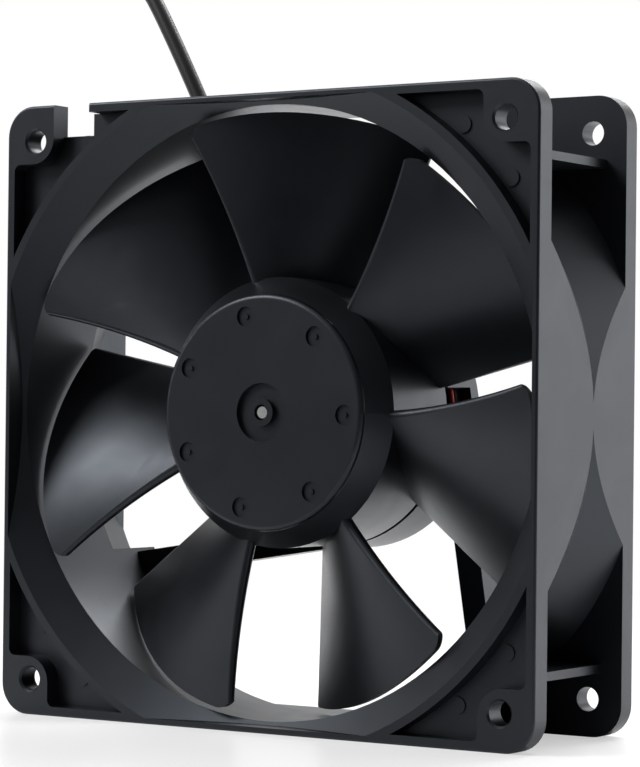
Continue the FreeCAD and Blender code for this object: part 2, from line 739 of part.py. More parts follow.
def rotor_yoke():
    face = YOKE_INNER - HUB_FACE_DROP
    inside = turned(
        [
            (0, YOKE_FRONT + YOKE_WALL),
            (face, YOKE_FRONT + YOKE_WALL),
            (YOKE_INNER, HUB_FRONT + HUB_SHOULDER + YOKE_INNER_BEND),
            (YOKE_INNER, HUB_REAR),
            (0, HUB_REAR),
        ]
    )
    cup = yoke_form(HUB_REAR - YOKE_INSET).cut(inside)
    return cup.cut(rod(BOSS_RADIUS, HUB_FRONT, YOKE_FRONT + YOKE_WALL + 1))


def ring_magnet():
    return ring(YOKE_INNER, MAGNET_INNER, MAGNET_FRONT, MAGNET_REAR)


def shaft_bush():
    """Brass bush riveted into the yoke, with its nose on the front bearing's inner ring."""
    back = YOKE_FRONT + YOKE_WALL
    nose = FRONT_BEARING - BUSH_NOSE
    return turned(
        [
            (SHAFT_RADIUS, YOKE_FRONT),
            (BOSS_RADIUS, YOKE_FRONT),
            (BOSS_RADIUS, back),
            (BUSH_RADIUS, back),
            (BUSH_RADIUS, nose),
            (RING_OUTER - BUSH_RELIEF, nose),
            (RING_OUTER - BUSH_RELIEF, FRONT_BEARING),
            (SHAFT_RADIUS, FRONT_BEARING),
        ]
    )


def shaft():
    thin = SHAFT_RADIUS - SHAFT_CHAMFER
    body = turned(
        [
            (0, SHAFT_FRONT),
            (thin, SHAFT_FRONT),
            (SHAFT_RADIUS, SHAFT_FRONT + SHAFT_CHAMFER),
            (SHAFT_RADIUS, SHAFT_REAR - SHAFT_CHAMFER),
            (thin, SHAFT_REAR),
            (0, SHAFT_REAR),
        ]
    )
    groove = ring(SHAFT_RADIUS + 1, SHAFT_RADIUS - CLIP_GROOVE, CLIP_FRONT, CLIP_FRONT + CLIP_THICKNESS)
    return body.cut(groove)


def shaft_washer():
    return ring(RING_OUTER, SHAFT_RADIUS, CLIP_FRONT - WASHER, CLIP_FRONT)


def shaft_clip():
    """Open ring that snaps into the shaft's groove behind the rear bearing."""
    back = CLIP_FRONT + CLIP_THICKNESS
    clip = ring(SHAFT_RADIUS + CLIP_REACH, SHAFT_RADIUS - CLIP_GROOVE, CLIP_FRONT, back)
    half = (SHAFT_RADIUS - CLIP_GROOVE) * CLIP_MOUTH
    return clip.cut(box((0, SHAFT_RADIUS * 3), (CLIP_FRONT - 1, back + 1), (-half, half)))


# ---------------------------------------------------------------- bearings


def bearing(name, front):
    """Save the pieces of a shielded ball bearing whose front face is at this y."""
    back = front + BEARING_WIDTH
    middle = (front + back) / 2
    track = Part.makeTorus(PITCH_RADIUS, BALL_RADIUS + TRACK_CLEARANCE, V(0, middle, 0), AXIS)
    seat = SHIELD_INSET + SHIELD_THICKNESS
    outside = RACE_INNER + SHIELD_STEP
    seats = [rod(outside, front - 1, front + seat), rod(outside, back - seat, back + 1)]
    save(name + "_outer_ring", ring(BEARING_RADIUS, RACE_INNER, front, back).cut([track] + seats))
    save(name + "_inner_ring", ring(RING_OUTER, SHAFT_RADIUS, front, back).cut(track))
    span = (middle - CAGE_LENGTH / 2, middle + CAGE_LENGTH / 2)
    cage = ring(PITCH_RADIUS + CAGE_HALF_WALL, PITCH_RADIUS - CAGE_HALF_WALL, *span)
    balls = []
    for i in range(BALL_COUNT):
        place = polar(PITCH_RADIUS, i * 360 / BALL_COUNT, middle)
        balls.append(Part.makeSphere(BALL_RADIUS, place))
        inner = place * (SHAFT_RADIUS / PITCH_RADIUS)
        inner.y = middle
        outward = V(place.x, 0, place.z)
        cage = cage.cut(Part.makeCylinder(BALL_RADIUS + CAGE_CLEARANCE, BEARING_RADIUS, inner, outward))
    save(name + "_balls", Part.makeCompound(balls))
    save(name + "_cage", cage)
    opening = RING_OUTER + SHIELD_CLEARANCE
    shields = [
        ring(outside, opening, front + SHIELD_INSET, front + seat),
        ring(outside, opening, back - seat, back - SHIELD_INSET),
    ]
    save(name + "_shields", Part.makeCompound(shields))


def bearing_tube():
    """Brass tube moulded into the base, with a shoulder between the two bearings."""
    tube = ring(TUBE_RADIUS, BEARING_RADIUS, TUBE_FRONT, TUBE_REAR)
    return joined([tube, ring(TUBE_RADIUS, RACE_INNER, REAR_BEARING - SHOULDER, REAR_BEARING)])


def preload_spring():
    """Coil spring between the front bearing's outer ring and the tube's shoulder."""
    start = FRONT_BEARING + BEARING_WIDTH + SPRING_WIRE
    length = REAR_BEARING - SHOULDER - SPRING_WIRE - start
    radius = BEARING_RADIUS - SPRING_CLEARANCE - SPRING_WIRE
    helix = Part.makeHelix(length / SPRING_TURNS, length, radius)
    circle = Part.Wire(Part.Circle(V(radius, 0, 0), V(0, 1, 0), SPRING_WIRE).toShape())
    coil = Part.Wire(helix).makePipeShell([circle], True, True)
    coil.rotate(CENTRE, V(1, 0, 0), -90)
    coil.translate(V(0, start, 0))
    return coil


# ---------------------------------------------------------------- stator


def stator_core():
    """Laminated core: a hub, four teeth and their curved shoes."""
    shapes = [ring(CORE_HUB, TUBE_RADIUS, CORE_FRONT, CORE_REAR)]
    shoes = ring(CORE_RADIUS, SHOE_INNER, CORE_FRONT, CORE_REAR)
    for i in range(POLE_COUNT):
        width = (-TOOTH_WIDTH / 2, TOOTH_WIDTH / 2)
        tooth = box((CORE_HUB - 1, SHOE_INNER + 1), (CORE_FRONT, CORE_REAR), width)
        shapes.append(spun(tooth, i * 360 / POLE_COUNT))
        gap = (-SLOT_WIDTH / 2, SLOT_WIDTH / 2)
        slot = box((SHOE_INNER - 1, CORE_RADIUS + 1), (CORE_FRONT - 1, CORE_REAR + 1), gap)
        shoes = shoes.cut(spun(slot, (i + 0.5) * 360 / POLE_COUNT))
    return joined(shapes + shoes.Solids)


def insulator(inner_face, way):
    """Moulded end insulator: plate, arms over the teeth and walls that hold the wire."""
    plate = sorted((inner_face, inner_face + way * INSULATOR))
    tall = sorted((inner_face, inner_face + way * INSULATOR_WALL))
    shapes = [ring(CORE_HUB, TUBE_RADIUS, *plate), ring(CORE_HUB, CORE_HUB - 1, *tall)]
    wall = ring(SHOE_INNER + 1, SHOE_INNER, *tall)
    for i in range(POLE_COUNT):
        arm = box((CORE_HUB - 0.5, SHOE_INNER + 0.5), plate, (-TOOTH_WIDTH / 2, TOOTH_WIDTH / 2))
        shapes.append(spun(arm, i * 360 / POLE_COUNT))
        half = TOOTH_WIDTH * INSULATOR_SPAN / 2
        span = box((0, CORE_RADIUS), tall, (-half, half))
        shapes.append(wall.common(spun(span, i * 360 / POLE_COUNT)))
    return joined(shapes)


def windings():
    """Four coils of enamelled wire, one round each tooth."""
    gap = WINDING_GAP
    inner = (TOOTH_WIDTH / 2 + gap, CORE_FRONT - INSULATOR - gap, CORE_REAR + INSULATOR + gap)
    outer = (inner[0] + WINDING_DEPTH, inner[1] - WINDING_DEPTH / 2, inner[2] + WINDING_DEPTH / 2)
    reach = (CORE_HUB + gap, SHOE_INNER * math.cos(math.radians(WINDING_EDGE)) - gap)
    coil = box(reach, (outer[1], outer[2]), (-outer[0], outer[0]))
    long_edges = [e for e in coil.Edges if abs(e.Vertexes[0].X - e.Vertexes[1].X) > 1]
    coil = coil.makeFillet(WINDING_DEPTH / 2, long_edges)
    coil = coil.cut(box((0, CORE_RADIUS), (inner[1], inner[2]), (-inner[0], inner[0])))
    return Part.makeCompound([spun(coil, i * 360 / POLE_COUNT) for i in range(POLE_COUNT)])


def pin_place(angle):
    return polar(CORE_HUB - 0.5, angle)


def pin(angle, grow=0.0):
    place = pin_place(angle)
    half = PIN_SIDE / 2 + grow
    return box(
        (place.x - half, place.x + half),
        (CORE_REAR + INSULATOR_WALL, BOARD_REAR + PIN_OUT),
        (place.z - half, place.z + half),
    )


def terminal_pins():
    return Part.makeCompound([pin(angle) for angle in PIN_ANGLES])


# ---------------------------------------------------------------- circuit board


def circuit_board():
    board = ring(BOARD_RADIUS, TUBE_RADIUS + BOSS_CLEARANCE, BOARD_FRONT, BOARD_REAR)
    board = board.cut([pin(angle) for angle in PIN_ANGLES])
    board = board.cut([bar(*lead_stub(i), WIRE_RADIUS) for i in range(len(WIRE_COLOURS))])
    return board.cut(hall_sensor())


def hall_sensor():
    """Three-legged sensor that stands up from the board behind the magnet."""
    centre = (MAGNET_INNER + YOKE_INNER) / 2
    front = HUB_REAR + HALL_GAP
    half = LEG_WIDTH / 2
    body = box(
        (centre - HALL_THICKNESS / 2, centre + HALL_THICKNESS / 2),
        (front, front + HALL_LENGTH),
        (-HALL_WIDTH / 2, HALL_WIDTH / 2),
    )
    legs = []
    for i in (-1, 0, 1):
        z = i * LEG_PITCH
        long = (front + HALL_LENGTH, BOARD_REAR + PIN_OUT)
        legs.append(box((centre - half, centre + half), long, (z - half, z + half)))
    return spun(joined([body] + legs), HALL_ANGLE)


def on_board(shape, radius, angle):
    """Part of the board's rear side, modelled about the origin and put at its place."""
    copy = shape.copy()
    copy.translate(V(radius, BOARD_REAR, 0))
    return spun(copy, angle)


def driver_chip():
    long, tall, wide = CHIP_SIZE
    half = LEG_WIDTH / 2
    shapes = [box((-long / 2, long / 2), (CHIP_LIFT, tall), (-wide / 2, wide / 2))]
    for side in (-1, 1):
        for i in range(CHIP_LEGS):
            x = (i - (CHIP_LEGS - 1) / 2) * LEG_PITCH
            z = sorted((side * (wide / 2 - half), side * (wide / 2 + 1)))
            shapes.append(box((x - half, x + half), (0, LEG_THICKNESS), z))
    return on_board(joined(shapes), *CHIP_PLACE)


def capacitor():
    base = box((-CAP_RADIUS, CAP_RADIUS), (0, CAP_BASE), (-CAP_RADIUS, CAP_RADIUS))
    can = rod(CAP_RADIUS - CHIP_LIFT, CAP_BASE, CAP_HEIGHT)
    return on_board(joined([base, can]), *CAP_PLACE)


def resistors():
    """Four chip resistors beside the driver."""
    long, tall, wide = RESISTOR_SIZE
    chip = box((-long / 2, long / 2), (0, tall), (-wide / 2, wide / 2))
    return Part.makeCompound([on_board(chip, RESISTOR_CIRCLE, a) for a in RESISTOR_ANGLES])


def solder_joints():
    """Solder on the board's rear side, round the pins and the leads."""
    shapes = []
    for angle in PIN_ANGLES:
        place = pin_place(angle)
        dot = rod(PIN_SOLDER, BOARD_REAR, BOARD_REAR + SOLDER_HEIGHT, place.x, place.z)
        shapes.append(dot.cut(pin(angle)))
    for i in range(len(WIRE_COLOURS)):
        start, end = lead_stub(i)
        dot = rod(LEAD_SOLDER, BOARD_REAR, BOARD_REAR + SOLDER_HEIGHT, start.x, start.z)
        shapes.append(dot.cut(bar(start, end, WIRE_RADIUS)))
    return Part.makeCompound(shapes)


# ---------------------------------------------------------------- leads and cable


def lead_stub(index):
    """Ends of the piece of lead that stands up from the board."""
    level = WIRE_FIRST + index * WIRE_PITCH
    return polar(PAD_CIRCLE, WIRE_ANGLES[index], BOARD_FRONT), polar(PAD_CIRCLE, WIRE_ANGLES[index], level)


def lead(index):
    """One lead: up from the board, round inside the cup, then out along the channelled strut."""
    foot, knee = lead_stub(index)
    level = knee.y
    angle = WIRE_ANGLES[index]
    bend = polar(LEAD_RADIUS, angle, level)
    leave = channel_turn() + 90
    sweep = (angle - leave) % 360
    turn = Part.makeTorus(LEAD_RADIUS, WIRE_RADIUS, V(0, level, 0), AXIS, 0, 360, sweep)
    turn = spun_to(turn, angle, sweep)
    end_of_turn = polar(LEAD_RADIUS, leave, level)
    way = polar(1, channel_turn())
    last = end_of_turn + way * (CHANNEL_END - GROMMET_PLUG)
    shapes = [
        bar(foot, knee, WIRE_RADIUS),
        Part.makeSphere(WIRE_RADIUS, knee),
        bar(knee, bend, WIRE_RADIUS),
        Part.makeSphere(WIRE_RADIUS, bend),
        turn,
        bar(end_of_turn, last, WIRE_RADIUS),
    ]
    return joined(shapes)


def spun_to(turn, angle, sweep):
    """Turn a torus piece about the axis until it ends at this angle."""
    now = math.degrees(math.atan2(turn.CenterOfMass.z, turn.CenterOfMass.x))
    return spun(turn, angle - sweep / 2 - now)


def cable_path(points):
    """Straight runs joined by tangent arcs; prints each arc's radius."""
    points = [V(*p) for p in points]
    edges = []
    here = points[0]
    radii = []
    for before, corner, after in zip(points, points[1:], points[2:]):
        into = corner - before
        away = after - corner
        short = min(into.Length, away.Length)
        into.normalize()
        away.normalize()
        half = into.getAngle(away) / 2
        back = ARC_SHARE * short
        radii.append(back / math.tan(half))
        start = corner - into * back
        end = corner + away * back
        bisector = (away - into).normalize()
        middle = corner + bisector * (radii[-1] / math.cos(half) - radii[-1])
        edges.append(Part.LineSegment(here, start).toShape())
        edges.append(Part.Arc(start, middle, end).toShape())
        here = end
    edges.append(Part.LineSegment(here, points[-1]).toShape())
    print("cable arc radii", [round(r, 1) for r in radii])
    return Part.Wire(edges)


def cable_sleeve():
    path = cable_path(CABLE_ROUTE)
    start = V(*CABLE_ROUTE[0])
    way = V(*CABLE_ROUTE[1]) - start
    circle = Part.Wire(Part.Circle(start, way, CABLE_RADIUS).toShape())
    tube = path.makePipeShell([circle], True, False)
    ideal = math.pi * CABLE_RADIUS**2 * path.Length
    print("cable path", round(path.Length, 1), "mm, volume share", round(tube.Volume / ideal, 4))
    return tube


def round_coil(radius, degrees, z):
    """Point by its radius and angle from the coil's centre."""
    angle = math.radians(degrees)
    return V(COIL_CENTRE.x + radius * math.cos(angle), COIL_CENTRE.y + radius * math.sin(angle), z)


def heading(degrees):
    """The way that something runs, level, where it goes round the coil at this angle."""
    angle = math.radians(degrees + 90)
    return V(math.cos(angle), math.sin(angle), 0)


def coil_ring():
    """Outer shape of the stacked turns."""
    tall = COIL_TOP - FLOOR_LEVEL
    up = V(0, 0, 1)
    ring_solid = Part.makeCylinder(COIL_RADIUS + CABLE_RADIUS, tall, COIL_CENTRE, up)
    ring_solid = ring_solid.cut(Part.makeCylinder(COIL_RADIUS - CABLE_RADIUS, tall + 2, COIL_CENTRE - up, up))
    round_edges = [e for e in ring_solid.Edges if len(e.Vertexes) == 1]
    return ring_solid.makeFillet(CABLE_RADIUS * COIL_ROUND, round_edges)


def cable_coil():
    """The coiled cable, lying on the floor, with its end lifted on to the top."""
    low = round_coil(COIL_RADIUS, COIL_END - 2 * COIL_RISE, COIL_TOP - CABLE_RADIUS)
    high = round_coil(COIL_RADIUS, COIL_END - COIL_RISE, END_LEVEL)
    tip = round_coil(COIL_RADIUS, COIL_END, END_LEVEL)
    shapes = [
        coil_ring(),
        bar(low, high, CABLE_RADIUS),
        Part.makeSphere(CABLE_RADIUS, high),
        bar(high, tip, CABLE_RADIUS),
    ]
    return joined(shapes).cut(cable_sleeve()).cut(shrink_sleeve())


def shrink_sleeve():
    """Shrunk tube over the end of the cable, where its three leads come out."""
    start = round_coil(COIL_RADIUS, COIL_END, END_LEVEL) - heading(COIL_END) * SHRINK_START
    way = heading(COIL_END) * SHRINK_LENGTH
    mouth = bar(start + way * SHRINK_SOLID, start + way * 2, CABLE_RADIUS - SHRINK_GRIP)
    return bar(start, start + way, SHRINK_RADIUS).cut(mouth)


def cable_tie():
    """Strap round the bundle of turns."""
    reach = CABLE_RADIUS + TIE_THICKNESS
    tall = COIL_TOP + TIE_THICKNESS - FLOOR_LEVEL
    strap = Part.makeBox(2 * reach, TIE_WIDTH, tall, V(COIL_RADIUS - reach, -TIE_WIDTH / 2, 0))
    strap.rotate(CENTRE, V(0, 0, 1), TIE_ANGLE)
    strap.translate(COIL_CENTRE)
    return strap.cut(coil_ring())


def connector_back():
    """Middle of the connector's rear edge, where it lies on the coil."""
    middle = round_coil(CONNECTOR_RADIUS, CONNECTOR_ANGLE, COIL_TOP)
    return middle - heading(CONNECTOR_ANGLE) * (CONNECTOR_SIZE[0] / 2)


def connector_place(shape):
    """Put a shape, modelled along +X with its rear edge at the origin, at the connector's place."""
    copy = shape.copy()
    copy.rotate(CENTRE, V(0, 0, 1), CONNECTOR_ANGLE + 90)
    copy.translate(connector_back())
    return copy


def square_bar(start, length, side, level):
    """Bar along +X, centred sideways, with its middle at this level."""
    return Part.makeBox(length, side, side, V(start, -side / 2, level - side / 2))


def beside(shape, offset):
    copy = shape.copy()
    copy.translate(V(0, offset, 0))
    return copy


def connector_housing():
    long, wide, tall = CONNECTOR_SIZE
    body = Part.makeBox(long, wide, tall, V(0, -wide / 2, 0))
    lengthwise = [e for e in body.Edges if abs(e.Vertexes[0].X - e.Vertexes[1].X) > 1]
    body = body.makeFillet(CONNECTOR_EDGE, lengthwise)
    rail = square_bar(long * RAIL_START, long * RAIL_LENGTH, RAIL_SIDE, tall + RAIL_SIDE / 2)
    for side in (-1, 1):
        body = body.fuse(beside(rail, side * wide * RAIL_OFFSET))
    socket = square_bar(-1, long + 2, SOCKET_SIDE, tall / 2)
    slot_long, slot_wide = LATCH_SIZE
    slot = Part.makeBox(slot_long, slot_wide, tall, V(long * LATCH_START, -slot_wide / 2, tall / 2))
    for i in (-1, 0, 1):
        body = body.cut([beside(socket, i * CONNECTOR_PITCH), beside(slot, i * CONNECTOR_PITCH)])
    return connector_place(body)


def connector_contacts():
    """Three crimped contacts inside the housing."""
    long, _, tall = CONNECTOR_SIZE
    contact = square_bar(TAIL_INSIDE, long - TAIL_INSIDE - 1, CONTACT_SIDE, tall / 2)
    contact = contact.cut(square_bar(TAIL_INSIDE + CONTACT_CRIMP, long, CONTACT_BORE, tall / 2))
    return Part.makeCompound([connector_place(beside(contact, i * CONNECTOR_PITCH)) for i in (-1, 0, 1)])


def tail(index):
    """A lead between the end of the shrunk tube and its contact in the connector."""
    way = heading(COIL_END)
    across = way.cross(V(0, 0, 1))
    turn = math.radians(TAIL_TURNS[index])
    bundle = across * (math.cos(turn) * TAIL_BUNDLE) + V(0, 0, -math.sin(turn) * TAIL_BUNDLE)
    start = round_coil(COIL_RADIUS, COIL_END, END_LEVEL) + way * (SHRINK_LENGTH / 2) + bundle
    mouth = start + way * (SHRINK_LENGTH / 2)
    along = heading(CONNECTOR_ANGLE)
    sideways = along.cross(V(0, 0, 1)) * ((index - 1) * CONNECTOR_PITCH)
    back = connector_back() + V(0, 0, CONNECTOR_SIZE[2] / 2) + sideways
    knee = back - along * TAIL_STRAIGHT
    shapes = [
        bar(start, mouth, WIRE_RADIUS),
        Part.makeSphere(WIRE_RADIUS, mouth),
        bar(mouth, knee, WIRE_RADIUS),
        Part.makeSphere(WIRE_RADIUS, knee),
        bar(knee, back + along * TAIL_INSIDE, WIRE_RADIUS),
    ]
    return joined(shapes)


def main():
    save("fan_housing", fan_housing())
    save("rear_label", rear_label())
    save("bearing_tube", bearing_tube())
    save("impeller", impeller())
    save("rotor_yoke", rotor_yoke())
    save("ring_magnet", ring_magnet())
    save("shaft_bush", shaft_bush())
    save("shaft", shaft())
    save("shaft_washer", shaft_washer())
    save("shaft_clip", shaft_clip())
    bearing("front_bearing", FRONT_BEARING)
    bearing("rear_bearing", REAR_BEARING)
    save("preload_spring", preload_spring())
    save("stator_core", stator_core())
    save("front_insulator", insulator(CORE_FRONT, -1))
    save("rear_insulator", insulator(CORE_REAR, 1))
    save("stator_windings", windings())
    save("terminal_pins", terminal_pins())
    save("circuit_board", circuit_board())
    save("hall_sensor", hall_sensor())
    save("driver_chip", driver_chip())
    save("capacitor", capacitor())
    save("chip_resistors", resistors())
    save("solder_joints", solder_joints())
    for i, colour in enumerate(WIRE_COLOURS):
        save(colour + "_lead", lead(i))
        save(colour + "_tail", tail(i))
    save("lead_grommet", lead_grommet())
    save("cable_sleeve", cable_sleeve())
    save("cable_coil", cable_coil())
    save("shrink_sleeve", shrink_sleeve())
    save("cable_tie", cable_tie())
    save("connector_housing", connector_housing())
    save("connector_contacts", connector_contacts())


main()
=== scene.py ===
import json
import math

import bpy
from mathutils import Matrix, Vector


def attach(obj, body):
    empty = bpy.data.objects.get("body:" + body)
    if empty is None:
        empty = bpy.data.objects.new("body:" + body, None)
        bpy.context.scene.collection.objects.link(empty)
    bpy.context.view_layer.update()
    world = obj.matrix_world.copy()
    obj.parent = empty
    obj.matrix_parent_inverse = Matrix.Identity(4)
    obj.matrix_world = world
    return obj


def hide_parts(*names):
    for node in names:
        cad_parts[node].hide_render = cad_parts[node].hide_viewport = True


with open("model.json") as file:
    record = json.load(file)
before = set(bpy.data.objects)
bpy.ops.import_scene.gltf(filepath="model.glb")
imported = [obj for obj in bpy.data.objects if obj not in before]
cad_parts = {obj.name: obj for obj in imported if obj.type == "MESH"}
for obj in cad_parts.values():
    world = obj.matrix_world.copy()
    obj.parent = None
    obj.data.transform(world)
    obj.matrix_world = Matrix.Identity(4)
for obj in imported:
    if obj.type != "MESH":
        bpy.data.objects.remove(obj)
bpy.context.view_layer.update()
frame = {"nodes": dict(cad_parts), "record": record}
NODES = frame["nodes"]
MM = 0.001


def mm(*values):
    return Vector(values) * MM


# ---------------------------------------------------------------- camera

CAMERA_AZIMUTH = 32.82  # degrees, towards the fan's right
CAMERA_ELEVATION = -0.58
CAMERA_ROLL = 0.619
CAMERA_DISTANCE = 0.550285
CAMERA_TARGET = mm(2.07, 0, 5.638)
CAMERA_LENS = 135.3
SENSOR = 36.0


def make_camera():
    """Camera at the fan's intake side, level with its axis."""
    azimuth = math.radians(CAMERA_AZIMUTH)
    elevation = math.radians(CAMERA_ELEVATION)
    roll = math.radians(CAMERA_ROLL)
    ahead = Vector(
        (
            -math.sin(azimuth) * math.cos(elevation),
            math.cos(azimuth) * math.cos(elevation),
            -math.sin(elevation),
        )
    )
    right = Vector((math.cos(azimuth), math.sin(azimuth), 0))
    up = right.cross(ahead)
    across = right * math.cos(roll) + up * math.sin(roll)
    above = up * math.cos(roll) - right * math.sin(roll)
    camera = bpy.data.objects.new("camera", bpy.data.cameras.new("camera"))
    camera.data.sensor_width = SENSOR
    camera.data.sensor_fit = "AUTO"
    camera.data.lens = CAMERA_LENS
    camera.data.clip_start = 0.01
    turn = Matrix((across, above, -ahead)).transposed().to_4x4()
    camera.matrix_world = Matrix.Translation(CAMERA_TARGET - ahead * CAMERA_DISTANCE) @ turn
    bpy.context.scene.collection.objects.link(camera)
    bpy.context.scene.camera = camera


make_camera()

# ---------------------------------------------------------------- cable

CABLE_RADIUS = 1.6
CABLE_ROUTE = (
    (-30.5, 12.6, 53.0),
    (-39.6, 12.6, 71.0),
    (-53.3, 12.8, 93.9),
    (-87.5, 13.2, 101.2),
    (-116.0, 14.0, 80.9),
    (-122.1, 16.0, 31.3),
    (-117.0, 20.0, -16.0),
    (-119.0, 19.5, -46.5),
    (-119.0, 8.2, -57.9),
    (-119.0, -7.8, -57.9),
)
COIL_RADIUS = 17.6
COIL_CENTRE = (-101.4, -7.8)
COIL_START = 180.0
COIL_STEP = 20.0
COIL_TURNS = 2
FIRST_RISE = (300, 360)  # degrees round the coil where the cable climbs onto its first turn
LAST_RISE = (625, 685)  # and where its end climbs onto the second
FLOOR = -59.5
LAYER = 2 * CABLE_RADIUS
SHRINK_RADIUS = 1.95
TOP_LEVEL = FLOOR + 2 * LAYER + SHRINK_RADIUS
COIL_END = 165.0


def turn_level(angle):
    """Height of the cable's middle after this many degrees round the coil."""
    low = FLOOR + CABLE_RADIUS
    high = low + LAYER
    levels = tuple(zip(FIRST_RISE + LAST_RISE, (low, high, high, TOP_LEVEL)))
    if angle <= levels[0][0]:
        return low
    for (start, first), (end, second) in zip(levels, levels[1:]):
        if angle <= end:
            share = (angle - start) / (end - start)
            return first + (second - first) * share * share * (3 - 2 * share)
    return TOP_LEVEL


def coil_points():
    """The turns of the coil, a diameter apart, on and over each other."""
    total = 360 * COIL_TURNS + COIL_END - COIL_START
    steps = math.ceil(total / COIL_STEP)
    points = []
    for i in range(1, steps + 1):
        angle = total * i / steps
        turn = math.radians(COIL_START + angle)
        wide = COIL_RADIUS / math.cos(math.radians(COIL_STEP / 2)) ** 0.5
        x = COIL_CENTRE[0] + wide * math.cos(turn)
        y = COIL_CENTRE[1] + wide * math.sin(turn)
        points.append((x, y, turn_level(angle)))
    return points


CORD_SIDES = 6  # steps in a quarter of the cord's round
CORD_STEPS = 10  # steps between two points of its route


def curve_piece(name, points, radius, body):
    """Round cord on one smooth spline."""
    data = bpy.data.curves.new(name, "CURVE")
    data.dimensions = "3D"
    data.bevel_depth = 1.0
    data.bevel_resolution = CORD_SIDES
    data.resolution_u = CORD_STEPS
    data.use_fill_caps = True
    spline = data.splines.new("NURBS")
    spline.points.add(len(points) - 1)
    for point, place in zip(spline.points, points):
        point.co = (*(value * MM for value in place), 1)
        point.radius = radius * MM
    spline.order_u = 3
    spline.use_endpoint_u = True
    piece = bpy.data.objects.new(name, data)
    bpy.context.scene.collection.objects.link(piece)
    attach(piece, body)
    return piece


cable_points = list(CABLE_ROUTE) + coil_points()
cable = curve_piece("sleeved_cable", cable_points, CABLE_RADIUS, "stator")
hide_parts("cable_sleeve", "cable_coil")

# ---------------------------------------------------------------- materials

WAVE_TURN = math.pi / 10  # scale of a wave texture whose bands are one unit apart


def linear(hex_colour):
    """Linear RGBA from an sRGB hex colour."""
    values = [int(hex_colour[i : i + 2], 16) / 255 for i in (1, 3, 5)]
    lit = (v / 12.92 if v <= 0.04045 else ((v + 0.055) / 1.055) ** 2.4 for v in values)
    return (*lit, 1.0)


def add(tree, kind, settings=None, **links):
    """A node with its settings; a link's name is the socket it goes to, with _ for a space."""
    node = tree.nodes.new("ShaderNode" + kind)
    for name, value in (settings or {}).items():
        if name in node.inputs:
            node.inputs[name].default_value = value
        else:
            setattr(node, name, value)
    for name, source in links.items():
        tree.links.new(source, node.inputs[name.replace("_", " ")])
    return node


def new_material(name, settings):
    """A material with its shader and the object's own coordinates."""
    made = bpy.data.materials.new(name)
    made.use_nodes = True
    tree = made.node_tree
    tree.nodes.clear()
    shader = add(tree, "BsdfPrincipled", settings)
    add(tree, "OutputMaterial", Surface=shader.outputs["BSDF"])
    place = add(tree, "TexCoord").outputs["Object"]
    return made, tree, shader, place


def dress(tree, shader, tone, gloss, bump=None):
    """Colour, gloss and relief into the shader."""
    tree.links.new(tone.outputs["Color"], shader.inputs["Base Color"])
    tree.links.new(gloss.outputs["Result"], shader.inputs["Roughness"])
    if bump:
        tree.links.new(bump.outputs["Normal"], shader.inputs["Normal"])


def moulded_pbt(name, dark, light, rough, grain_mm):
    """Glass-filled PBT, moulded: near black, satin, with a faint spark-eroded grain and flow marks.

    The true grain is under a tenth of a millimetre; it is drawn coarser so that it shows.
    """
    sheen = {"IOR": 1.46, "Specular Tint": (0.8, 0.88, 1.0, 1.0)}
    made, tree, shader, place = new_material(name, sheen)
    pits = {"Scale": 1 / (grain_mm * MM), "Detail": 3.0, "Roughness": 0.6}
    grain = add(tree, "TexNoise", pits, Vector=place)
    marks = {"Scale": 1 / (14 * MM), "Detail": 4.0, "Distortion": 1.2}
    flow = add(tree, "TexNoise", marks, Vector=place)
    colours = {"Color1": linear(dark), "Color2": linear(light)}
    tone = add(tree, "MixRGB", colours, Fac=flow.outputs["Fac"])
    levels = {"To Min": rough - 0.06, "To Max": rough + 0.08}
    gloss = add(tree, "MapRange", levels, Value=flow.outputs["Fac"])
    bump = add(tree, "Bump", {"Strength": 0.2, "Distance": 0.03 * MM}, Height=grain.outputs["Fac"])
    dress(tree, shader, tone, gloss, bump)
    return made


def turned_metal(name, dark, light, rough, line_mm):
    """Turned or drawn metal: fine rings about the axis and a slight change of tone.

    Tool marks are finer than this; they are drawn coarser so that they show.
    """
    made, tree, shader, place = new_material(name, {"Metallic": 1.0})
    rings = {"Scale": WAVE_TURN / (line_mm * MM), "Distortion": 0.6, "bands_direction": "Y"}
    lines = add(tree, "TexWave", rings, Vector=place)
    patch = add(tree, "TexNoise", {"Scale": 1 / (3 * MM), "Detail": 3.0}, Vector=place)
    colours = {"Color1": linear(dark), "Color2": linear(light)}
    tone = add(tree, "MixRGB", colours, Fac=patch.outputs["Fac"])
    levels = {"To Min": rough - 0.05, "To Max": rough + 0.08}
    gloss = add(tree, "MapRange", levels, Value=patch.outputs["Fac"])
    bump = add(tree, "Bump", {"Strength": 0.15, "Distance": 0.01 * MM}, Height=lines.outputs["Fac"])
    dress(tree, shader, tone, gloss, bump)
    return made


def soft_plastic(name, dark, light, rough, grain_mm, bump_mm=0.02):
    """Extruded or moulded soft plastic: even colour, faint grain and rubbed patches."""
    made, tree, shader, place = new_material(name, {"IOR": 1.5})
    grain = add(tree, "TexNoise", {"Scale": 1 / (grain_mm * MM), "Detail": 2.0}, Vector=place)
    patch = add(tree, "TexNoise", {"Scale": 1 / (9 * MM), "Detail": 3.0}, Vector=place)
    colours = {"Color1": linear(dark), "Color2": linear(light)}
    tone = add(tree, "MixRGB", colours, Fac=patch.outputs["Fac"])
    levels = {"To Min": rough - 0.07, "To Max": rough + 0.07}
    gloss = add(tree, "MapRange", levels, Value=patch.outputs["Fac"])
    bump = add(tree, "Bump", {"Strength": 0.3, "Distance": bump_mm * MM}, Height=grain.outputs["Fac"])
    dress(tree, shader, tone, gloss, bump)
    return made


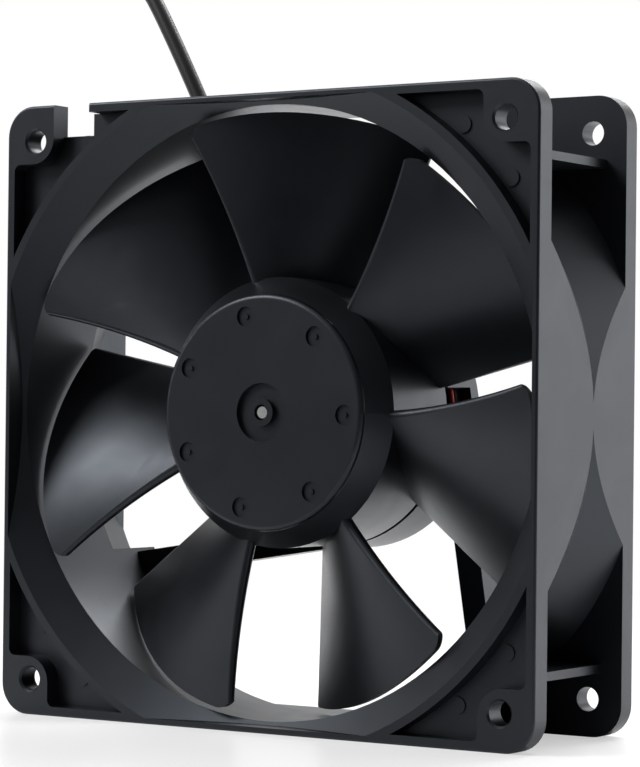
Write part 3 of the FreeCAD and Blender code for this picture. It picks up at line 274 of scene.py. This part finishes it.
def banded_metal(name, gap, face, rough, band_mm, depth_mm):
    """Metal in even bands along the axis: a dark line between wound wires or stacked sheets."""
    made, tree, shader, place = new_material(name, {"Metallic": 1.0})
    rows = {"Scale": WAVE_TURN / (band_mm * MM), "bands_direction": "Y"}
    bands = add(tree, "TexWave", rows, Vector=place)
    colours = {"Color1": linear(gap), "Color2": linear(face)}
    tone = add(tree, "MixRGB", colours, Fac=bands.outputs["Fac"])
    levels = {"To Min": rough + 0.12, "To Max": rough}
    gloss = add(tree, "MapRange", levels, Value=bands.outputs["Fac"])
    bump = add(tree, "Bump", {"Strength": 0.6, "Distance": depth_mm * MM}, Height=bands.outputs["Fac"])
    dress(tree, shader, tone, gloss, bump)
    return made


def masked_board():
    """Green solder mask over glass epoxy: glossy, with the tracks just showing through."""
    varnish = {"IOR": 1.52, "Coat Weight": 0.4, "Coat Roughness": 0.1}
    made, tree, shader, place = new_material("solder_mask", varnish)
    cells = {"Scale": 1 / (3.2 * MM), "feature": "DISTANCE_TO_EDGE"}
    tracks = add(tree, "TexVoronoi", cells, Vector=place)
    edge = add(tree, "MapRange", {"From Min": 0.05, "From Max": 0.12}, Value=tracks.outputs["Distance"])
    colours = {"Color1": linear("#1f7a3c"), "Color2": linear("#0d4a24")}
    tone = add(tree, "MixRGB", colours, Fac=edge.outputs["Result"])
    gloss = add(tree, "MapRange", {"To Min": 0.25, "To Max": 0.4}, Value=edge.outputs["Result"])
    dress(tree, shader, tone, gloss)
    return made


FINISHES = {
    # near-black satin mouldings; the impeller's is a little smoother than the frame's
    "frame_plastic": moulded_pbt("moulded_pbt_frame", "#050608", "#0a0b0e", 0.4, 0.5),
    "rotor_plastic": moulded_pbt("moulded_pbt_rotor", "#050608", "#090a0d", 0.38, 0.4),
    # a pale, silvery film, blank, with a soft gleam
    "label_film": soft_plastic("silvered_film", "#8d9094", "#a3a6aa", 0.38, 0.3),
    # dull grey plating with faint rings
    "yoke_steel": turned_metal("zinc_plated_steel", "#8c8d88", "#b4b5b0", 0.34, 0.4),
    # dark brown-grey and dead matt
    "ferrite": soft_plastic("bonded_ferrite", "#2a2927", "#37352f", 0.5, 0.2),
    # warm yellow and turned
    "brass": turned_metal("turned_brass", "#9a7a38", "#c8a55a", 0.28, 0.25),
    # bright, with a sharp gleam; the bearings' steel is the brightest
    "bright_steel": turned_metal("ground_steel", "#b9babb", "#dcdddd", 0.2, 0.15),
    "bearing_steel": turned_metal("polished_bearing_steel", "#c6c7c9", "#e2e3e4", 0.12, 0.1),
    # darker drawn wire
    "spring_steel": turned_metal("drawn_spring_steel", "#7d7f82", "#a2a4a7", 0.3, 0.2),
    # grey sheets, with a dark line between each two
    "lamination": banded_metal("laminated_steel", "#2c2e33", "#777a80", 0.38, 0.5, 0.05),
    # cream and satin
    "insulator_plastic": soft_plastic("natural_nylon", "#cfc9b6", "#e2ddcd", 0.45, 0.3),
    # reddish brown rows of varnished wire
    "copper_wire": banded_metal("enamelled_copper", "#4a1c08", "#b8602a", 0.3, 0.6, 0.15),
    "board": masked_board(),
    # matt black
    "chip_plastic": soft_plastic("moulded_epoxy", "#1b1b1c", "#262627", 0.5, 0.12),
    # pale and drawn
    "can_metal": turned_metal("drawn_aluminium_can", "#a9abad", "#cccecf", 0.3, 0.3),
    # bright and uneven
    "solder": turned_metal("tin_solder", "#a5a7a8", "#d0d2d3", 0.22, 0.4),
    # smooth coloured insulation, slightly glossy
    "red_insulation": soft_plastic("red_pvc_insulation", "#a81418", "#c92226", 0.35, 0.3),
    "black_insulation": soft_plastic("black_pvc_insulation", "#131314", "#1d1d1f", 0.35, 0.3),
    "brown_insulation": soft_plastic("brown_pvc_insulation", "#4a2414", "#5e3020", 0.35, 0.3),
    # black rubber, matt and finely grained
    "grommet_rubber": soft_plastic("moulded_rubber", "#141414", "#1f1f20", 0.6, 0.2, 0.04),
    # black sleeve with a soft gleam
    "sleeve": soft_plastic("extruded_pvc_sleeve", "#111113", "#1b1b1e", 0.38, 0.4),
    # black nylon, a little greyer than the sleeve
    "tie_nylon": soft_plastic("black_nylon_strap", "#161617", "#212123", 0.45, 0.3),
    "connector_plastic": soft_plastic("black_nylon_shell", "#171718", "#232325", 0.42, 0.3),
    # pale, warm tin
    "tinned_contact": turned_metal("tinned_bronze", "#b7b3a8", "#d8d5cb", 0.25, 0.2),
}


def give_finishes():
    """Each CAD node gets the finish of its slot."""
    for entry in frame["record"]["subparts"]:
        mesh = NODES[entry["node"]].data
        mesh.materials.clear()
        mesh.materials.append(FINISHES[entry["material_slot"]])
    cable.data.materials.append(FINISHES["sleeve"])


give_finishes()

# ---------------------------------------------------------------- floor and light

TABLE = 6.0  # half its side, in metres
TABLE_WHITE = 0.07  # metres in front of the fan's centre to which reflections see it pale
TABLE_DARK = 0.2  # and from which they see it dark: painted shade on the fan's reflections and bounced light
FADE_START = 0.12  # metres from the fan's centre to where the table fades into plain white
FADE_END = 0.32
FADE_NEAR = 0.5  # share of plain white next to the fan
LIT_SIDE = (-0.75, 0.55, 0.35)  # where the room is brightest
ROOM_DIM = 0.04
ROOM_LIT = 1.0
ROOM_SPREAD = 0.9  # how squarely a direction faces the lit side when it is fully lit
LAMPS = (  # name, place and width in metres, power in watts
    ("upper_left_box", (-0.62, -0.6, 0.7), 0.5, 9),
    ("back_box", (0.9, 0.9, 0.3), 0.9, 7),
    ("top_box", (0.0, 0.8, 1.1), 0.8, 22),
)


def white_table():
    """Pale laminate: matt with a soft gleam, and plain white to the camera away from the object.

    Only the camera sees it pale in front of the fan; reflections and bounced light see it dark grey
    there, which is painted shade on the fan.
    """
    made, tree, shader, place = new_material("white_table", {"Roughness": 0.3, "IOR": 1.45})
    rays = add(tree, "LightPath")
    span = add(tree, "SeparateXYZ", Vector=place)
    edge = {
        "From Min": -TABLE_DARK,
        "From Max": -TABLE_WHITE,
        "interpolation_type": "SMOOTHSTEP",
    }
    # 1 near and behind the fan, 0 farther in front, where the table is painted dark for reflections and
    # bounced light
    near = add(tree, "MapRange", edge, Value=span.outputs["Y"])
    bright = add(tree, "Math", {"operation": "MAXIMUM"})
    tree.links.new(near.outputs["Result"], bright.inputs[0])
    tree.links.new(rays.outputs["Is Camera Ray"], bright.inputs[1])
    # painted shade: dark grey is the table's colour to reflections and bounced light in front of the
    # fan; the camera always sees the pale colour
    colours = {"Color1": linear("#303134"), "Color2": linear("#fafafb")}
    tone = add(tree, "MixRGB", colours, Fac=bright.outputs["Value"])
    tree.links.new(tone.outputs["Color"], shader.inputs["Base Color"])
    away = add(tree, "VectorMath", {"operation": "LENGTH"}, Vector=place)
    far = {"From Min": FADE_START, "From Max": FADE_END, "To Min": FADE_NEAR}
    fade = add(tree, "MapRange", far, Value=away.outputs["Value"])
    share = add(tree, "Math", {"operation": "MULTIPLY"})
    tree.links.new(fade.outputs["Result"], share.inputs[0])
    tree.links.new(rays.outputs["Is Camera Ray"], share.inputs[1])
    white = add(tree, "Emission", {"Color": (1, 1, 1, 1), "Strength": 1.0})
    mixed = add(tree, "MixShader", Fac=share.outputs["Value"])
    tree.links.new(shader.outputs["BSDF"], mixed.inputs[1])
    tree.links.new(white.outputs["Emission"], mixed.inputs[2])
    tree.links.new(mixed.outputs["Shader"], tree.get_output_node("ALL").inputs["Surface"])
    return made


def make_floor():
    mesh = bpy.data.meshes.new("floor")
    sides = ((-1, -1), (1, -1), (1, 1), (-1, 1))
    corners = [(x * TABLE, y * TABLE, FLOOR * MM) for x, y in sides]
    mesh.from_pydata(corners, [], [(0, 1, 2, 3)])
    floor = bpy.data.objects.new("floor", mesh)
    bpy.context.scene.collection.objects.link(floor)
    mesh.materials.append(white_table())


def make_world():
    """White to the camera; as light, white behind and on the left, and dim in front on the right."""
    world = bpy.data.worlds.new("studio")
    bpy.context.scene.world = world
    world.use_nodes = True
    tree = world.node_tree
    tree.nodes.clear()
    way = add(tree, "TexCoord").outputs["Generated"]
    facing = add(tree, "VectorMath", {"operation": "DOT_PRODUCT"})
    tree.links.new(way, facing.inputs[0])
    facing.inputs[1].default_value = LIT_SIDE
    room = {
        "From Min": -ROOM_SPREAD,
        "From Max": ROOM_SPREAD,
        "To Min": ROOM_DIM,
        "To Max": ROOM_LIT,
    }
    light = add(tree, "MapRange", room, Value=facing.outputs["Value"])
    rays = add(tree, "LightPath")
    strength = add(tree, "Mix", {"data_type": "FLOAT"})
    tree.links.new(rays.outputs["Is Camera Ray"], strength.inputs[0])
    tree.links.new(light.outputs["Result"], strength.inputs[2])
    strength.inputs[3].default_value = 1.0
    back = add(tree, "Background", {"Color": (1, 1, 1, 1)}, Strength=strength.outputs[0])
    add(tree, "OutputWorld", Surface=back.outputs["Background"])


def area_light(name, place, size, power):
    """Soft box aimed at the object."""
    lamp = bpy.data.objects.new(name, bpy.data.lights.new(name, "AREA"))
    lamp.data.shape = "DISK"
    lamp.data.size = size
    lamp.data.energy = power
    lamp.location = place
    lamp.rotation_euler = (-Vector(place)).to_track_quat("-Z", "Y").to_euler()
    bpy.context.scene.collection.objects.link(lamp)


make_floor()
make_world()
for lamp in LAMPS:
    area_light(*lamp)

bpy.context.scene.view_settings.view_transform = "Standard"
